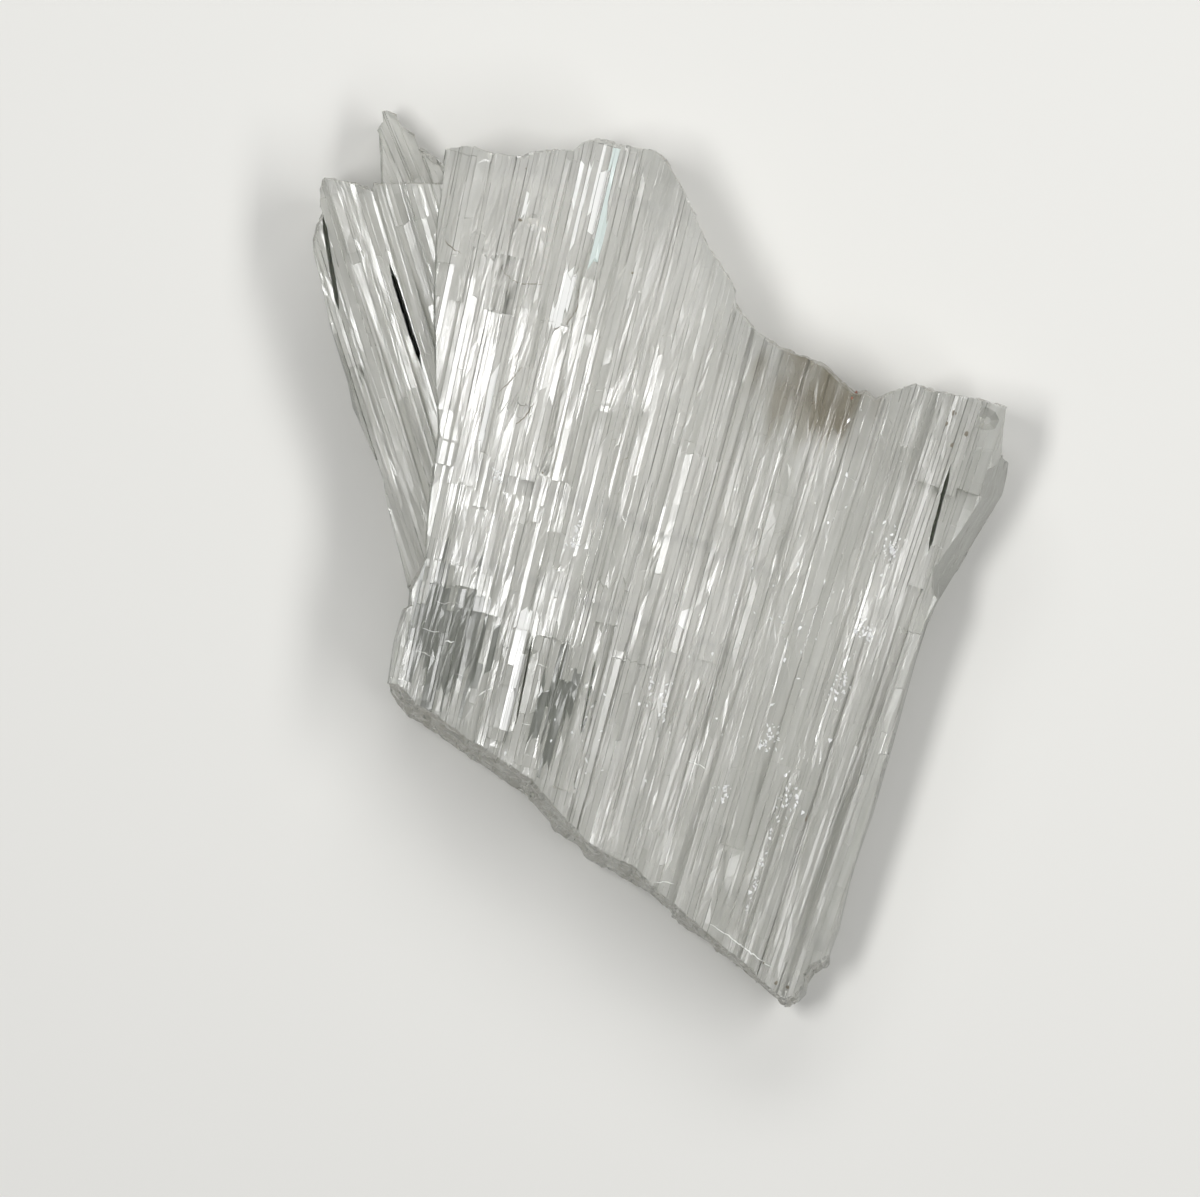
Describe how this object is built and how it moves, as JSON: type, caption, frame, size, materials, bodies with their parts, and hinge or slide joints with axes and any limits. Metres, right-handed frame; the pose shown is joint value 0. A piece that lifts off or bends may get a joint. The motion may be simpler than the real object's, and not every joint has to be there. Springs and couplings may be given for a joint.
{
  "type": "probertite specimen",
  "caption": "Clear colourless probertite cleavage plate of parallel striated laths, with a smaller blade and a pointed horn grown onto its left side.",
  "frame": {"origin": "under the middle of the specimen's bounding box, on the surface that it lies on", "axes": "+Z out of the striated front face, up as it lies on its back; +Y from the lower tip towards the horn, up in the picture; +X towards the right shoulder"},
  "size_m": [0.0418, 0.0538, 0.009],
  "materials": {
    "probertite": "vitreous, finely striated along the fibres"
  },
  "bodies": {
    "root": {"probertite_crystal": "probertite"}
  },
  "joints": []
}
